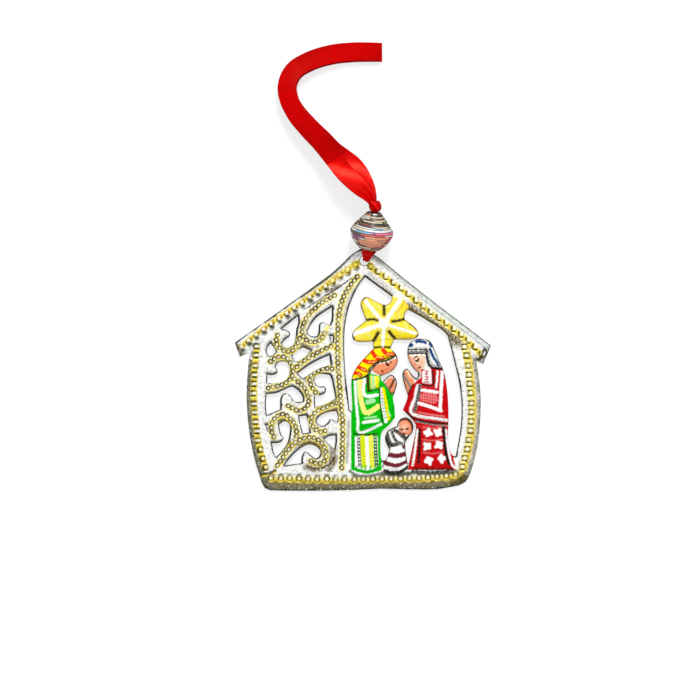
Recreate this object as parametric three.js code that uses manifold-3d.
// A hanging ornament: a house cut and hammered from one steel sheet, a rolled paper bead and a satin ribbon.
// It lies on its back. +X is to the right of the painted face, +Y to the roof peak, +Z out of the face.
// Lengths are millimetres, z = 0 is the table and the origin is under the middle of the steel sheet.
import * as THREE from 'three';
import { mergeVertices } from 'three/addons/utils/BufferGeometryUtils.js';
import Module from 'manifold-3d';

const wasm = await Module();
wasm.setup();

// Driving dimensions of the steel sheet
const houseWidth = 95.9;
const sheetThickness = 0.9;
const rimDrop = 1.0;
const landWidth = 0.8;
const wallRimWidth = 2.1;
const footRimWidth = 3.2;
const roofRimWidth = 1.3;
const peakFlatRadius = 9;
const peakBlendLength = 5;
const hangingHoleDiameter = 3.5;

// Raised work on the face of the sheet
const padRise = 0.5;
const padBevel = 0.35;
const rootDepth = 0.3;
const starRise = 1.1;
const starEdgeRise = 0.25;
const borderDotDiameter = 2.3;
const borderDotRise = 0.55;
const borderDotPitch = 3.45;
const scrollDotDiameter = 1.4;
const scrollDotRise = 0.3;
const scrollDotPitch = 1.78;

// Rolled paper bead
const beadDiameter = 16.5;
const beadTilt = 15;
const beadLean = 7.5;
const footConeLength = 6.5;
const knotConeLength = 6.9;
const footEndDiameter = 8.4;
const knotEndDiameter = 5.2;
const knotConeHollow = 1.12;
const boreDiameter = 3.4;
const paperStep = 0.3;
const stepsOnFootCone = 5;
const stepsOnKnotCone = 7;

// Satin ribbon
const ribbonWidth = 7;
const ribbonThickness = 0.4;
const tieWidth = 3.2;
const tieThickness = 0.5;
const tieArch = 2.0;
const tieBends = { overFace: 0.62, nearHole: 0.24, underneath: 0.72 };
const gatheredWidth = 2.1;
const gatheredThickness = 0.7;
const knotDiameter = 4.3;
const knotWrapDiameter = 1.5;
const knotWrapTurn = 28;
const knotLength = 3.6;
const runningGap = 0.3;
const hingeGap = 0.55;

const faceHeight = rimDrop + sheetThickness;
const drawn = { left: -47.8, right: 48.1 };
const drawingScale = houseWidth / (drawn.right - drawn.left);

// Every outline below is drawn in millimetres on the face and follows the width of the house.
const at = (x, y) => new THREE.Vector2(x * drawingScale, y * drawingScale);
const straight = (...points) => ({ round: false, points: points.map(([x, y]) => at(x, y)) });
const round = (...points) => ({ round: true, points: points.map(([x, y]) => at(x, y)) });

function outline(start, ...stretches) {
  const shape = new THREE.Shape();
  const first = at(...start);
  shape.moveTo(first.x, first.y);
  for (const stretch of stretches) {
    if (stretch.round) {
      shape.splineThru(stretch.points);
    } else {
      stretch.points.forEach((point) => shape.lineTo(point.x, point.y));
    }
  }
  shape.closePath();
  return shape;
}

function sampled(shape, divisions = 2) {
  const points = shape.getPoints(divisions);
  const kept = points.filter((point, i) => i === 0 || point.distanceTo(points[i - 1]) > 0.05);
  if (kept[0].distanceTo(kept[kept.length - 1]) < 0.05) {
    kept.pop();
  }
  return THREE.ShapeUtils.area(kept) < 0 ? kept.reverse() : kept;
}

// Solids
function geometryFrom(positions, triangles) {
  const geometry = new THREE.BufferGeometry();
  geometry.setAttribute('position', new THREE.Float32BufferAttribute(positions, 3));
  geometry.setIndex(triangles);
  return geometry;
}

function signedVolume(points, triangles) {
  let volume = 0;
  for (let i = 0; i < triangles.length; i += 3) {
    const [a, b, c] = [points[triangles[i]], points[triangles[i + 1]], points[triangles[i + 2]]];
    volume += a.dot(new THREE.Vector3().crossVectors(b, c)) / 6;
  }
  return volume;
}

// A closed body skinned over rings of equally many points. The first and last rings are capped.
function loft(rings) {
  const count = rings[0].length;
  const points = rings.flat();
  const triangles = [];
  for (let ring = 0; ring + 1 < rings.length; ring += 1) {
    for (let i = 0; i < count; i += 1) {
      const next = (i + 1) % count;
      const [a, b] = [ring * count + i, ring * count + next];
      const [c, d] = [a + count, b + count];
      triangles.push(a, b, d, a, d, c);
    }
  }
  const lastRing = (rings.length - 1) * count;
  for (const [start, flip] of [[0, true], [lastRing, false]]) {
    for (const [i, j, k] of capTriangles(points.slice(start, start + count))) {
      const face = flip ? [i, k, j] : [i, j, k];
      triangles.push(...face.map((corner) => corner + start));
    }
  }
  if (signedVolume(points, triangles) < 0) {
    triangles.reverse();
  }
  return geometryFrom(points.flatMap((point) => point.toArray()), triangles);
}

// A cap is triangulated in the plane of its own ring.
function capTriangles(ring) {
  const centre = ring.reduce((sum, point) => sum.add(point), new THREE.Vector3()).divideScalar(ring.length);
  const normal = new THREE.Vector3();
  ring.forEach((point, i) => {
    const next = ring[(i + 1) % ring.length];
    normal.add(new THREE.Vector3().crossVectors(point.clone().sub(centre), next.clone().sub(centre)));
  });
  normal.normalize();
  const across = ring[0].clone().sub(centre);
  across.addScaledVector(normal, -across.dot(normal)).normalize();
  const up = new THREE.Vector3().crossVectors(normal, across);
  const flat = ring.map((point) => {
    const offset = point.clone().sub(centre);
    return new THREE.Vector2(offset.dot(across), offset.dot(up));
  });
  return THREE.ShapeUtils.triangulateShape(flat, []);
}

function solid(geometry) {
  const bare = geometry.clone();
  bare.deleteAttribute('normal');
  bare.deleteAttribute('uv');
  const merged = mergeVertices(bare);
  const vertProperties = new Float32Array(merged.attributes.position.array);
  const triVerts = new Uint32Array(merged.index.array);
  return new wasm.Manifold(new wasm.Mesh({ numProp: 3, vertProperties, triVerts }));
}

function geometryOf(manifold) {
  const mesh = manifold.getMesh();
  return geometryFrom(Array.from(mesh.vertProperties), Array.from(mesh.triVerts));
}

function joined(manifolds) {
  return manifolds.reduce((sum, next) => sum.add(next));
}

function prism(shape, bottom, top, divisions) {
  const geometry = new THREE.ExtrudeGeometry(shape, {
    depth: top - bottom,
    bevelEnabled: false,
    curveSegments: divisions,
  });
  geometry.translate(0, 0, bottom);
  return geometry;
}

// Steel sheet: the outline of the house, anticlockwise from the peak
const peak = [-0.5, 45.3];
const house = outline(
  peak,
  round([-4, 43.1], [-8, 39.3], [-12, 35.8], [-17, 32.1], [-25, 26.3], [-35, 19.1], [-47.8, 10.1]),
  straight([-46, 4.8], [-42.2, 6.6]),
  round([-42.8, 1.5], [-43.4, -8], [-43.1, -17], [-42, -26], [-40.2, -34.5], [-37.7, -42.4]),
  straight([-36.6, -44.4], [-34.6, -45.2]),
  round([-28, -45.4], [-15, -45.4], [-3, -45.1], [7, -44.7], [18, -44.9], [28, -44.8], [36, -43.4]),
  round([38.6, -42], [40.2, -39.3]),
  round([41.9, -34], [43.3, -27], [44.1, -19], [44.3, -11], [43.7, -4], [42.6, 3.3]),
  straight([45.3, 2.2], [48.1, 9]),
  round([40.2, 15.1], [27, 25.1], [15, 34.6], [9.5, 39.1], [4.8, 42.7], peak),
);
const hangingHole = at(0.7, 40.8);
const eaveHeight = 9 * drawingScale;
const footHeight = -42 * drawingScale;
const footHalfWidth = 34 * drawingScale;

// The hammered rim is widest along the foot and narrowest along the roof.
function rimWidthAt(point) {
  if (point.y < footHeight && Math.abs(point.x) < footHalfWidth) {
    return footRimWidth;
  }
  return point.y > eaveHeight ? roofRimWidth : wallRimWidth;
}

// The rim is turned down everywhere but at the peak, where the ribbon passes under the sheet.
function dropAt(point) {
  const distance = point.distanceTo(hangingHole) - peakFlatRadius * drawingScale;
  return rimDrop * THREE.MathUtils.clamp(distance / peakBlendLength, 0, 1);
}

// Points moved inward by a distance of their own, with mitred corners
function inset(points, distanceOf) {
  return points.map((point, i) => {
    const before = points[(i + points.length - 1) % points.length];
    const after = points[(i + 1) % points.length];
    const first = point.clone().sub(before).normalize();
    const second = after.clone().sub(point).normalize();
    const firstNormal = new THREE.Vector2(-first.y, first.x);
    const secondNormal = new THREE.Vector2(-second.y, second.x);
    const mitre = firstNormal.clone().add(secondNormal);
    const scale = distanceOf(point) / Math.max(1 + firstNormal.dot(secondNormal), 0.5);
    return point.clone().addScaledVector(mitre, scale);
  });
}

function blankSheet() {
  const edge = sampled(house);
  const drops = edge.map(dropAt);
  const raise = (points, heightOf) => points.map((p, i) => new THREE.Vector3(p.x, p.y, heightOf(i)));
  const shoulder = inset(edge, rimWidthAt);
  const landEdge = inset(edge, () => landWidth);
  const underShoulder = inset(edge, (point) => rimWidthAt(point) + landWidth / 2);
  return loft([
    raise(shoulder, () => faceHeight),
    raise(edge, (i) => faceHeight - drops[i]),
    raise(edge, (i) => rimDrop - drops[i]),
    raise(landEdge, (i) => rimDrop - drops[i]),
    raise(underShoulder, () => rimDrop),
  ]);
}

// The window that holds the figures is one opening on each side of the star and the mother.
const leftOfMother = outline(
  [1, 34.6],
  round([-1.2, 31.9], [-3.3, 27.9], [-5.1, 23.3], [-6.2, 18.5], [-6.8, 13], [-6.8, 6]),
  round([-6.5, 0], [-6, -5], [-5.4, -10], [-4.9, -15.1]),
  straight([-3.9, -15.7]),
  round([-3.9, -12], [-4.2, -7], [-4.2, -4.2]),
  round([-3.7, -2], [-2.6, 0.3], [-1, 2.5], [1, 4.6], [2.7, 6.5], [4.1, 7.8]),
  straight([3.9, 10.5], [-2.3, 10.5]),
  round([-3.4, 11.2], [-3.9, 12.8], [-3.4, 14.4], [-1.8, 15.9]),
  straight([1.3, 18.3]),
  round([0.4, 20.8], [-0.5, 23.2], [-0.7, 25.1], [0.9, 27.1], [2.6, 26.8], [5, 25.5], [7.8, 24.3]),
  straight([8.9, 24.2]),
  round([10.1, 24.9], [10.9, 26], [10.8, 27.4]),
);
const rightOfMother = outline(
  [17.3, 22.3],
  straight([24.5, 18.2], [31.8, 12.7]),
  round([33, 8.5], [34.6, 2], [36, -4], [36.9, -10], [37.1, -16], [36.6, -23], [34.9, -32.5]),
  straight([33.9, -32.3]),
  round([33, -31], [32.2, -28], [32, -24], [32.2, -18], [32, -11], [31.2, -4], [30.1, 0.3]),
  straight([28.4, 4]),
  round([26.8, 8], [25.3, 10.6], [23.2, 11.4], [20.8, 11.5], [18.6, 10.6], [17.2, 9], [16.8, 7]),
  round([16.9, 5], [17.7, 2.6], [19, 0.5], [20.6, -1.1]),
  straight([20.9, -2.2], [20.2, -3.4]),
  round([18.6, -1.9], [17.2, 0], [16.2, 0.3], [15.2, -0.7], [14.9, -2.2], [15.6, -5.5], [16.9, -9.6]),
  straight([15.1, -15.2]),
  round([17.2, -17.2], [19, -19.2], [20, -20.8]),
  round([19.9, -23], [19.2, -26.5], [18.3, -31], [17.4, -35.1]),
  straight([16.9, -35.2]),
  round([16.5, -33], [16.1, -30], [15.9, -27.4]),
  round([17.4, -25.1], [18.6, -23.6], [19.1, -21.8], [18.7, -20], [17.6, -18.5], [16, -17.9]),
  round([14.4, -18.4], [13.3, -19.8], [12.8, -21.3]),
  round([11.2, -21.9], [9.4, -23], [8.4, -25.3], [8.8, -27.5], [10.1, -30]),
  round([9.6, -31.8], [8.5, -34]),
  straight([7.3, -34.1]),
  round([6.8, -32], [6.7, -28], [6.9, -24.6], [7.4, -23.1]),
  straight([10, -20.7], [12.2, -17.9], [11.9, -13.5], [11.4, -10.4]),
  round([12.2, -8], [12.9, -5.5], [12.6, -3.7], [11.2, -2.1], [9.6, -2.5], [7.4, -4.6]),
  straight([6.8, -3.4], [6.9, -2.4]),
  round([8.7, -1.8], [10.6, -0.8], [12.2, 0.7], [13.2, 2.9], [12.9, 4.9], [12.1, 6.3], [10.4, 7.8]),
  straight([11.7, 11.2], [18.8, 11.4]),
  round([20.5, 12.2], [21, 13.6], [20, 15.4]),
  straight([15.8, 18.8]),
  round([15.7, 20.3], [16.1, 21.6], [17.3, 22.3]),
);

// Openings between the scrolls of the left panel, from the roof down to the foot
const scrollOpenings = [
  outline(
    [-30.2, 15.2],
    round([-28.8, 14.9], [-27.5, 14.2], [-27.1, 13.1], [-27.6, 12.2], [-29, 11.2], [-30.2, 9.7]),
    round([-29.6, 8.6], [-28, 8.1], [-26.3, 9], [-25.4, 10.5], [-25, 13], [-24.8, 15.4]),
    round([-24.1, 17.4], [-24.3, 20]),
  ),
  outline([-34.5, 9.8], round([-35.7, 8], [-35.8, 6.2], [-34.6, 5], [-33, 6], [-32.6, 7.3], [-34.5, 9.8])),
  outline(
    [-32.5, 1.2],
    round([-31.9, 2.4], [-30.6, 3], [-29.3, 2.9], [-28, 2.2], [-27.3, 0.2], [-27.5, -1.9]),
    round([-28.5, -3.6], [-30.5, -4.8], [-33, -5.1], [-35.7, -5.1]),
    straight([-35.7, -1.9]),
    round([-34, -2.1], [-32.5, -1.7], [-31.7, -0.8], [-32.2, 0.3], [-32.5, 1.2]),
  ),
  outline(
    [-26.3, 5.1],
    round([-25, 3], [-22.6, 4], [-20.7, 5.6], [-19.5, 7.1]),
    straight([-22.3, 8.3]),
    round([-24.6, 7], [-26.3, 5.1]),
  ),
  outline(
    [-24.3, -1.5],
    straight([-22.4, -3.4]),
    round([-20.5, -2.1], [-18, -0.5], [-15, 0.9], [-12, 1.7]),
    straight([-12.5, 5.3]),
    round([-16, 3.8], [-20, 1.6], [-24.3, -1.5]),
  ),
  outline(
    [-11.5, 23.3],
    round([-14, 21.8], [-17.3, 19.4], [-19.4, 16.7], [-20.7, 14.3]),
    round([-20, 13], [-18.4, 12.4], [-16.9, 12.8], [-16.5, 14.6], [-16.3, 16.8], [-15, 17.7], [-12.4, 16.6]),
    round([-11.6, 19], [-11.5, 23.3]),
  ),
  outline([-12.1, 12.5], straight([-11.7, 10.2], [-11.3, 10.2], [-11, 12.5])),
  outline(
    [-36, -9.2],
    round([-36.2, -13], [-35.9, -17.1]),
    straight([-30.9, -14.9], [-30.6, -10.2]),
    round([-29.8, -9.2], [-28.6, -8.9], [-27.2, -9.5], [-26.3, -10.9], [-25.3, -12.1], [-22.5, -12]),
    round([-22.4, -10.6], [-23.4, -8.7], [-25.1, -7.1], [-26.9, -6.5], [-30, -7.9], [-32.6, -8.9], [-36, -9.2]),
  ),
  outline([-36.1, -20.8], straight([-35.1, -23.4], [-35.4, -20.9])),
  outline(
    [-17.1, -5.9],
    round([-15.9, -6.4], [-14.6, -6.2], [-13.6, -7.3], [-14.2, -8.9], [-15.6, -9.6]),
    straight([-17.9, -9.6], [-17.7, -14.1]),
    round([-14, -12.9], [-10.1, -10.9]),
    round([-10.9, -7], [-11.6, -3.7], [-12.4, -2.1]),
    round([-15, -1.7], [-17.2, -2.3], [-18.1, -4], [-17.1, -5.9]),
  ),
  outline(
    [-23.7, -17.6],
    round([-23.4, -19.8], [-22.8, -22], [-22.3, -23.9]),
    straight([-20, -23.6]),
    round([-20.3, -20.4], [-21.1, -17.2]),
  ),
  outline(
    [-9.9, -15.6],
    round([-12.5, -15.9], [-15.5, -17.1], [-17.2, -19], [-16.5, -20.4], [-14.8, -21.1], [-12.9, -19.7]),
    round([-12, -18.5], [-9.5, -19.6]),
    round([-9.2, -17.6], [-9.9, -15.6]),
  ),
  outline(
    [-31.3, -20.7],
    round([-30.9, -22.9], [-30.2, -24.7], [-29.5, -25.6], [-30.1, -26.7], [-31.4, -27.5], [-33.9, -27.6]),
    straight([-33.3, -31], [-32.5, -32.8]),
    round([-30.3, -30.6], [-28.1, -27.2], [-27.2, -22.8], [-27.5, -20.4], [-29.3, -19.4], [-31.3, -20.7]),
  ),
  outline([-14.4, -26.2], round([-12.6, -25], [-10.2, -24.7]), straight([-10.2, -27.3], [-10.7, -29.8])),
  outline(
    [-29.3, -35.9],
    straight([-22.9, -35.1]),
    round([-22.9, -33.1], [-22.3, -31.4], [-21.2, -30.6], [-19.4, -32], [-17.6, -33.3], [-16.3, -32.5]),
    round([-15.8, -30.7], [-17.3, -28.9], [-19.9, -28.1], [-22.6, -29.1], [-26, -31.9], [-29.3, -35.9]),
  ),
];

// Raised parts of the mother, the father and the infant, with chased grooves between them
const figurePads = [
  // Mother: headscarf, face, collar, both sides of the robe, joined hands and skirt
  outline(
    [4.6, 7.6],
    round([2.8, 6.2], [0.9, 4], [-1.2, 1.8], [-2.9, -0.8], [-3.8, -3.5]),
    straight([1.6, -2]),
    round([2.8, -0.2], [4.2, 1.6], [6.4, 2.7], [9.2, 3.2], [12.3, 4.9]),
    round([11.9, 6], [10.2, 7.6]),
  ),
  outline(
    [3.5, -0.4],
    round([6.2, -1.9], [8.6, -1.6], [10.4, -0.6], [12, 0.9], [12.9, 2.8], [12.6, 4.3]),
    round([9.3, 2.7], [6.4, 2.1], [4.6, 1], [3.5, -0.4]),
  ),
  outline([2.9, -2.2], straight([3.1, -7.3], [5.9, -6.4], [6.4, -2.8])),
  outline(
    [-3.8, -4.3],
    round([-3.7, -10], [-3.5, -17], [-3.5, -23.3]),
    straight([0, -23.2], [6.6, -21.4], [6.3, -14], [5.7, -7.9], [3, -8.8], [1.3, -7.8], [1.2, -3]),
  ),
  outline([7.1, -7.2], straight([7.2, -14], [7.7, -21.8], [11.8, -17.9], [11.5, -13.3], [10.9, -10.5], [8, -5.9])),
  outline([8.2, -4.9], round([10, -2.9], [11.5, -2.8], [12.4, -5], [11.9, -7.5], [11.2, -9.3], [8.2, -4.9])),
  outline(
    [-3.5, -24.5],
    straight([-3.5, -37.1]),
    round([-1, -38], [2, -38.5], [6.6, -36.8]),
    straight([6.3, -25], [5.5, -24.2]),
  ),
  // Father: cap and drape of the headcloth, band, face, collar, joined hands, sleeve, robe and skirt
  outline([17.2, 7.9], straight([24.6, 8.2]), round([25, 10.2], [22.8, 11.1], [19.9, 10.9], [17.9, 9.6], [17.2, 7.9])),
  outline([25.4, 9.7], round([24.9, 6.5], [24.9, 3.2], [26.2, 1.5]), straight([29.6, 0.7]), round([27.7, 4.4], [25.4, 9.7])),
  outline([17.1, 5.9], straight([23.6, 6.2], [23.5, 7.3], [17.1, 7.1])),
  outline([17.3, 5.2], round([18, 2.8], [19.3, 0.9], [20.9, -0.8]), straight([23.4, 1.4], [23.4, 5.5])),
  outline([22.3, -1], straight([22.4, -4.9], [25.9, -5.4], [25.6, 0.2], [23.9, 0.6])),
  outline(
    [16.6, -0.1],
    round([15.4, -1.4], [15.8, -4.5], [17, -8.6]),
    straight([19.4, -4.4]),
    round([18.3, -2.4], [16.6, -0.1]),
  ),
  outline([17.5, -9.4], straight([20.1, -5.4], [20.6, -7.2], [18.7, -16.6], [17.2, -16.6], [15.6, -15.1])),
  outline(
    [21.5, -6.1],
    straight([26.6, -6.4], [27.2, -0.4], [29.8, -0.2]),
    round([30.8, -4.3], [31.6, -10.5], [31.8, -19.4]),
    straight([26, -18.9], [19.9, -17.3]),
  ),
  outline(
    [20.6, -21],
    round([19.7, -26], [18.4, -34.8]),
    straight([19.4, -37], [33.6, -36.9]),
    round([32.4, -32.6], [31.6, -26.5], [31.8, -20.8]),
  ),
  // Infant: face, upper and lower wraps
  outline([16, -18.3], round([13.6, -20], [14, -23], [16.7, -24.9], [18.5, -22.9], [18, -19.9], [16, -18.3])),
  outline([12.6, -22.6], round([9.8, -23.2], [8.9, -25.5], [9.9, -28.4]), straight([15.3, -27.6], [15.9, -26])),
  outline([10.6, -29.5], straight([15.6, -28.7], [16.2, -34.6]), round([13.6, -37], [10.5, -37.6], [8.3, -36.3], [10.6, -29.5])),
];

function figurePad(shape) {
  const geometry = new THREE.ExtrudeGeometry(shape, {
    depth: rootDepth,
    bevelThickness: padRise,
    bevelSize: padBevel,
    bevelOffset: -padBevel,
    bevelSegments: 1,
    curveSegments: 1,
  });
  geometry.translate(0, 0, faceHeight - rootDepth);
  return geometry;
}

// The star rises in facets from its outline to the middle, and its upper right arm lies on the roof band.
const starCentre = at(8, 17.1);
const starOutline = outline(
  [3.9, 10.6],
  straight([11.7, 11.4], [19.4, 11.6], [20.9, 13.7], [15.7, 18.7], [17.2, 23.6], [14.9, 27]),
  straight([10.9, 27.2], [8.3, 24.3], [1.6, 27], [-0.6, 25], [1.4, 18.4], [-3.5, 14.3], [-2.6, 10.7]),
);

function starRelief() {
  const points = sampled(starOutline);
  const foot = faceHeight - rootDepth;
  const bottom = points.map((point) => new THREE.Vector3(point.x, point.y, foot));
  const rim = points.map((point) => new THREE.Vector3(point.x, point.y, faceHeight + starEdgeRise));
  const positions = [...bottom, ...rim];
  const count = points.length;
  const middle = positions.length;
  positions.push(new THREE.Vector3(starCentre.x, starCentre.y, faceHeight + starRise));
  const triangles = [];
  for (let i = 0; i < count; i += 1) {
    const next = (i + 1) % count;
    triangles.push(i, next, count + next, i, count + next, count + i);
    triangles.push(count + i, count + next, middle);
  }
  for (const [i, j, k] of THREE.ShapeUtils.triangulateShape(points, [])) {
    triangles.push(i, k, j);
  }
  return geometryFrom(positions.flatMap((point) => point.toArray()), triangles);
}

// Rows of large dots struck along the border, each evenly spaced
const borderRows = [
  [[-2.6, 39.1], [-8, 35.4], [-15, 30.2], [-22, 25.2], [-31.5, 18.8], [-38.5, 13.7], [-45.2, 8.2]],
  [[3.4, 38.9], [8.8, 35.1], [16.3, 29.3], [25.2, 22.5], [34, 16.2], [40, 11.6], [45.1, 6.3]],
  [[-39.6, 8.6], [-40.2, 2], [-40.6, -5], [-40.6, -12], [-39.9, -21], [-38.5, -29.5], [-36.4, -36.8]],
  [[-34.2, -40.4], [-20, -40.9], [-5, -41.1], [10, -40.8], [22, -40.5], [31.6, -39.7], [34.8, -39.1]],
  [[38.2, 8.4], [39.4, 2], [40.2, -5], [40.8, -13], [40.6, -19], [39.7, -27.5], [37.4, -36.6]],
];

// Rows of small dots, down the divider and then along each scroll
const scrollRows = [
  [[-2, 34.7], [-5.4, 30.2], [-7.7, 25.7], [-9, 18.7], [-9.3, 12], [-9.3, 4], [-8.8, -3.3], [-8.3, -10.4],
    [-7.6, -17.2], [-7.4, -24.3], [-7.6, -31.8], [-7.8, -36.8]],
  [[-10.5, 27.6], [-15.2, 25], [-19.2, 21.4], [-21.5, 18.4], [-22.6, 14], [-21.6, 11.5], [-19, 10.2],
    [-16, 10.9], [-14.2, 13.6]],
  [[-31.8, 12.8], [-32.3, 9.9], [-29.5, 7], [-26.5, 6.9], [-24.7, 8.8], [-23.6, 11.6]],
  [[-34.5, 3], [-32, 4.4], [-28.8, 4.5], [-26.6, 1.4], [-26, -1.5], [-27.3, -4], [-30, -5.6], [-35.3, -7]],
  [[-24.6, 0.9], [-22.3, 2.8], [-18.1, 5.7], [-11.8, 8.6]],
  [[-11.5, 0.2], [-14.5, 0.3], [-17.2, -0.9], [-19.5, -2.5], [-19.4, -5.6], [-17.6, -8.6]],
  [[-25.5, -3.6], [-22, -6.6], [-20.2, -11], [-20.8, -13.9], [-23.3, -15.5], [-27.8, -13.6]],
  [[-24.7, -25], [-25, -21.5], [-26.8, -18.7], [-29.7, -16.8], [-32.4, -17.9], [-34, -20.5], [-33.9, -23.5],
    [-33.2, -25.2]],
  [[-9.8, -12.7], [-14.5, -14.5], [-17.5, -16], [-19.2, -18.8], [-18.3, -21.8], [-15.5, -23.5], [-14, -23]],
  [[-31.8, -35.9], [-28.4, -31], [-25.3, -27.5], [-22, -25.8], [-18.7, -25.6], [-15.8, -26.9], [-13.8, -31],
    [-14.1, -34], [-16.7, -35.4], [-19.3, -34.3]],
];

function evenlyAlong(row, pitch) {
  const curve = new THREE.SplineCurve(row.map(([x, y]) => at(x, y)));
  return curve.getSpacedPoints(Math.round(curve.getLength() / pitch));
}

function dot(centre, diameter, rise, sides, shoulders) {
  const radius = diameter / 2;
  const profile = [new THREE.Vector2(0, -rootDepth), new THREE.Vector2(radius, -rootDepth)];
  for (let i = 0; i <= shoulders; i += 1) {
    const climb = (i / (shoulders + 1)) * Math.PI / 2;
    profile.push(new THREE.Vector2(radius * Math.cos(climb), rise * Math.sin(climb)));
  }
  profile.push(new THREE.Vector2(0, rise));
  const geometry = new THREE.LatheGeometry(profile, sides);
  geometry.rotateX(Math.PI / 2);
  geometry.translate(centre.x, centre.y, faceHeight);
  return geometry;
}

function steelPlate() {
  const hole = new THREE.CylinderGeometry(hangingHoleDiameter / 2, hangingHoleDiameter / 2, 4 * faceHeight, 20);
  hole.rotateX(Math.PI / 2);
  hole.translate(hangingHole.x, hangingHole.y, 0);
  const cuts = [leftOfMother, rightOfMother, ...scrollOpenings].map((shape) => (
    solid(prism(shape, -faceHeight, 3 * faceHeight, 2))
  ));
  const dots = borderRows
    .flatMap((row) => evenlyAlong(row, borderDotPitch))
    .map((centre) => solid(dot(centre, borderDotDiameter, borderDotRise, 8, 1)));
  const smallDots = scrollRows
    .flatMap((row) => evenlyAlong(row, scrollDotPitch))
    .map((centre) => solid(dot(centre, scrollDotDiameter, scrollDotRise, 6, 0)));
  const pads = figurePads.map((shape) => solid(figurePad(shape)));
  return joined([solid(blankSheet()), solid(starRelief()), ...pads, ...dots, ...smallDots])
    .subtract(joined([...cuts, solid(hole)]));
}

// Rolled paper bead: a strip wound on itself leaves a step at every turn of both cones.
function beadProfile() {
  const widest = beadDiameter / 2;
  const profile = [new THREE.Vector2(boreDiameter / 2, -footConeLength)];
  const foot = footEndDiameter / 2;
  for (let i = 0; i <= stepsOnFootCone; i += 1) {
    const share = i / stepsOnFootCone;
    const radius = foot + (widest - foot) * Math.sin(share * Math.PI / 2);
    const height = -footConeLength * (1 - share);
    profile.push(new THREE.Vector2(radius - paperStep, height));
    profile.push(new THREE.Vector2(radius, height + paperStep / 2));
  }
  const top = knotEndDiameter / 2;
  for (let i = 1; i <= stepsOnKnotCone; i += 1) {
    const share = i / stepsOnKnotCone;
    const radius = widest + (top - widest) * share ** knotConeHollow;
    const height = knotConeLength * share;
    profile.push(new THREE.Vector2(radius + paperStep, height - paperStep / 2));
    profile.push(new THREE.Vector2(radius, height));
  }
  profile.push(new THREE.Vector2(boreDiameter / 2, knotConeLength));
  profile.push(profile[0].clone());
  return profile;
}

// A band of ribbon follows its route with its own width and thickness at each point.
function ribbonBand(stations, samplesPerSpan) {
  const route = new THREE.CatmullRomCurve3(stations.map((station) => station.place), false, 'centripetal');
  const spans = stations.length - 1;
  const rings = [];
  for (let i = 0; i <= spans * samplesPerSpan; i += 1) {
    const along = i / samplesPerSpan;
    const index = Math.min(Math.floor(along), spans - 1);
    const share = along - index;
    const [from, to] = [stations[index], stations[index + 1]];
    const centre = route.getPoint(along / spans);
    const tangent = route.getTangent(along / spans);
    const side = from.side.clone().lerp(to.side, share);
    side.addScaledVector(tangent, -side.dot(tangent)).normalize();
    const normal = new THREE.Vector3().crossVectors(side, tangent);
    const width = THREE.MathUtils.lerp(from.width, to.width, share);
    const thickness = THREE.MathUtils.lerp(from.thickness, to.thickness, share);
    rings.push(ribbonSection(width, thickness).map((corner) => (
      centre.clone().addScaledVector(side, corner.x).addScaledVector(normal, corner.y)
    )));
  }
  return loft(rings);
}

// Flat section with softened edges
function ribbonSection(width, thickness) {
  const [half, low] = [width / 2, thickness / 2];
  const flat = half - low;
  return [
    new THREE.Vector2(half, -low / 2),
    new THREE.Vector2(half, low / 2),
    new THREE.Vector2(flat, low),
    new THREE.Vector2(-flat, low),
    new THREE.Vector2(-half, low / 2),
    new THREE.Vector2(-half, -low / 2),
    new THREE.Vector2(-flat, -low),
    new THREE.Vector2(flat, -low),
  ];
}

// Where the bead lies: its widest ring touches the table and its knot end is lifted and leans to the right.
const tilt = THREE.MathUtils.degToRad(beadTilt);
const lean = THREE.MathUtils.degToRad(beadLean);
const beadAxis = new THREE.Vector3(
  Math.sin(lean) * Math.cos(tilt),
  Math.cos(lean) * Math.cos(tilt),
  Math.sin(tilt),
);
const tableClearance = 0.15;
const mouthFromHole = new THREE.Vector2(2, 4.9);
const beadRestHeight = (beadDiameter / 2) * Math.cos(tilt) + tableClearance;
const mouth = new THREE.Vector3(
  hangingHole.x + mouthFromHole.x,
  hangingHole.y + mouthFromHole.y,
  beadRestHeight - footConeLength * Math.sin(tilt),
);
const alongBead = (distance) => mouth.clone().addScaledVector(beadAxis, distance);
const beadLength = footConeLength + knotConeLength;

function paperBead() {
  const geometry = new THREE.LatheGeometry(beadProfile(), 28);
  const turn = new THREE.Quaternion().setFromUnitVectors(new THREE.Vector3(0, 1, 0), beadAxis);
  geometry.applyQuaternion(turn);
  const middle = alongBead(footConeLength);
  geometry.translate(middle.x, middle.y, middle.z);
  return geometry;
}

// The tie: from the bead over the face, down through the hole and back up outside the peak
const tieSide = new THREE.Vector3(mouthFromHole.y, -mouthFromHole.x, 0).normalize();

function tiePlace(outward, height) {
  const unit = mouthFromHole.clone().normalize();
  return new THREE.Vector3(hangingHole.x + unit.x * outward, hangingHole.y + unit.y * outward, height);
}

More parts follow.
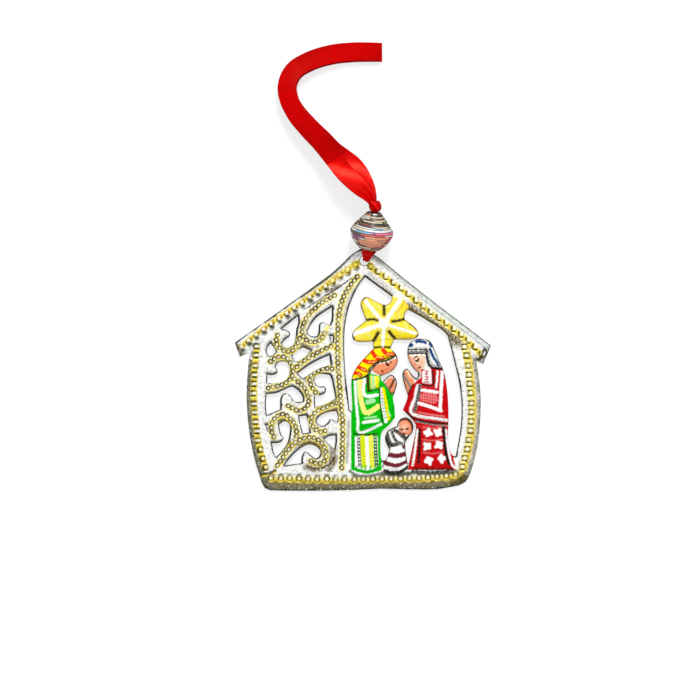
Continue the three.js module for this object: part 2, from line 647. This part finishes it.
function ribbonTie() {
  const reach = mouthFromHole.length();
  const underHeight = rimDrop - runningGap - tieThickness / 2;
  const station = (outward, height, width, thickness = tieThickness) => (
    { place: tiePlace(outward, height), side: tieSide, width, thickness }
  );
  const legSpread = tieThickness / 2 + runningGap;
  const outerLeg = at(...peak).distanceTo(hangingHole) + runningGap + tieThickness / 2;
  return ribbonBand([
    station(reach - hingeGap - legSpread, mouth.z - hingeGap, gatheredWidth),
    station(reach * tieBends.overFace, faceHeight + tieArch, tieWidth),
    station(reach * tieBends.nearHole, faceHeight + tieArch / 2, tieWidth),
    station(0, faceHeight, gatheredWidth, gatheredThickness),
    station(0, rimDrop, gatheredWidth, gatheredThickness),
    station(reach * tieBends.nearHole, underHeight, gatheredWidth),
    station(reach * tieBends.underneath, underHeight, tieWidth),
    station(outerLeg, rimDrop - runningGap, tieWidth),
    station(outerLeg, faceHeight, tieWidth),
    station(outerLeg, (faceHeight + mouth.z) / 2, tieWidth),
    station(reach - hingeGap + legSpread / 2, mouth.z - hingeGap, gatheredWidth),
  ], 2);
}

function ribbonInBore() {
  const station = (distance) => (
    { place: alongBead(distance), side: tieSide, width: gatheredWidth, thickness: 2 * gatheredThickness }
  );
  return ribbonBand([station(hingeGap), station(beadLength / 2), station(beadLength)], 1);
}

// The knot stops the bead: a rounded core with one turn of ribbon crossing over it.
function ribbonKnot() {
  const radius = knotDiameter / 2;
  const core = new THREE.SphereGeometry(radius, 14, 10);
  const wrapRadius = knotWrapDiameter / 2;
  const wrap = new THREE.TorusGeometry(radius - wrapRadius / 2, wrapRadius, 6, 16);
  wrap.scale(1, 1, tieWidth / gatheredWidth);
  wrap.rotateX(Math.PI / 2);
  wrap.rotateZ(THREE.MathUtils.degToRad(knotWrapTurn));
  const knot = geometryOf(solid(core).add(solid(wrap)));
  knot.computeBoundingBox();
  const turned = knot.boundingBox.getSize(new THREE.Vector3());
  knot.scale(knotDiameter / turned.x, knotLength / turned.y, knotDiameter / turned.z);
  const turn = new THREE.Quaternion().setFromUnitVectors(new THREE.Vector3(0, 1, 0), beadAxis);
  knot.applyQuaternion(turn);
  const middle = alongBead(beadLength + runningGap + knotLength / 2);
  knot.translate(middle.x, middle.y, middle.z);
  return knot;
}

// The hanging loop arches from the knot to the table: the front strand over the back strand, folded at the far end.
const frontRoute = [
  [4.7, 62.9, 10.9], [2.6, 65.8, 10.7], [-1, 69.2, 10.3], [-5.3, 73.2, 9.8], [-10, 79.4, 9.1], [-15, 85.1, 8.5],
  [-20, 90, 7.9], [-24.6, 95.2, 7.2], [-27.4, 100.5, 6.5], [-28.2, 106, 5.7], [-25.8, 111.5, 4.9], [-20, 115.3, 4.1],
  [-12, 117.9, 3.3], [-4, 118.9, 2.6], [4.6, 118.9, 2.1],
];
const backRoute = [
  [5, 62.8, 9.7], [3.3, 66.2, 9], [0.6, 69.9, 8.2], [-1.4, 73.6, 7.5], [-3.9, 76.4, 7], [-7.2, 78.7, 6.7],
  [-11.2, 81.5, 6.4], [-15, 85.4, 6.2], [-20, 90.2, 5.8], [-24.4, 95.4, 5.2], [-27.2, 100.6, 4.6], [-28, 106, 3.9],
  [-25.6, 111.3, 3.1], [-20, 115, 2.2], [-12, 117.6, 1.4], [-4, 118.6, 0.8], [4.6, 118.8, 0.6],
];
const foldRoute = [[6.6, 118.8, 1.95], [7.3, 118.8, 1.45]];
const foldReturn = [[6.6, 118.8, 0.5], [7.2, 118.8, 0.95]];
const gatheringLength = 11;

function strand(route) {
  const places = route.map(([x, y, z]) => new THREE.Vector3(x, y, z));
  return ribbonBand(places.map((place, i) => {
    const before = places[Math.max(i - 1, 0)];
    const after = places[Math.min(i + 1, places.length - 1)];
    const heading = after.clone().sub(before).setZ(0).normalize();
    const fromKnot = place.distanceTo(places[0]);
    const spread = THREE.MathUtils.clamp(fromKnot / gatheringLength, 0, 1);
    return {
      place,
      side: new THREE.Vector3(heading.y, -heading.x, 0),
      width: THREE.MathUtils.lerp(gatheredWidth, ribbonWidth, Math.sin(spread * Math.PI / 2)),
      thickness: ribbonThickness,
    };
  }), 3);
}

// Scene
const ornament = new THREE.Group();

function addPiece(name, geometry, colour, roughness, metalness) {
  const material = new THREE.MeshStandardMaterial({ color: colour, roughness, metalness });
  const mesh = new THREE.Mesh(geometry, material);
  mesh.name = name;
  ornament.add(mesh);
  return mesh;
}

const satinRed = 0xc8101a;
const plate = addPiece('steel_plate', geometryOf(steelPlate()), 0xd8d8d2, 0.35, 1);
addPiece('paper_bead', paperBead(), 0xd9c3b4, 0.45, 0);
addPiece('ribbon_tie', ribbonTie(), satinRed, 0.4, 0);
addPiece('ribbon_in_bore', ribbonInBore(), satinRed, 0.4, 0);
addPiece('ribbon_knot', ribbonKnot(), satinRed, 0.4, 0);
addPiece('ribbon_front_strand', strand([...frontRoute, ...foldRoute]), satinRed, 0.4, 0);
addPiece('ribbon_back_strand', strand([...backRoute, ...foldReturn]), satinRed, 0.4, 0);

plate.geometry.computeBoundingBox();
const sheetMiddle = plate.geometry.boundingBox.getCenter(new THREE.Vector3());
ornament.position.set(-sheetMiddle.x, -sheetMiddle.y, 0);

export default ornament;
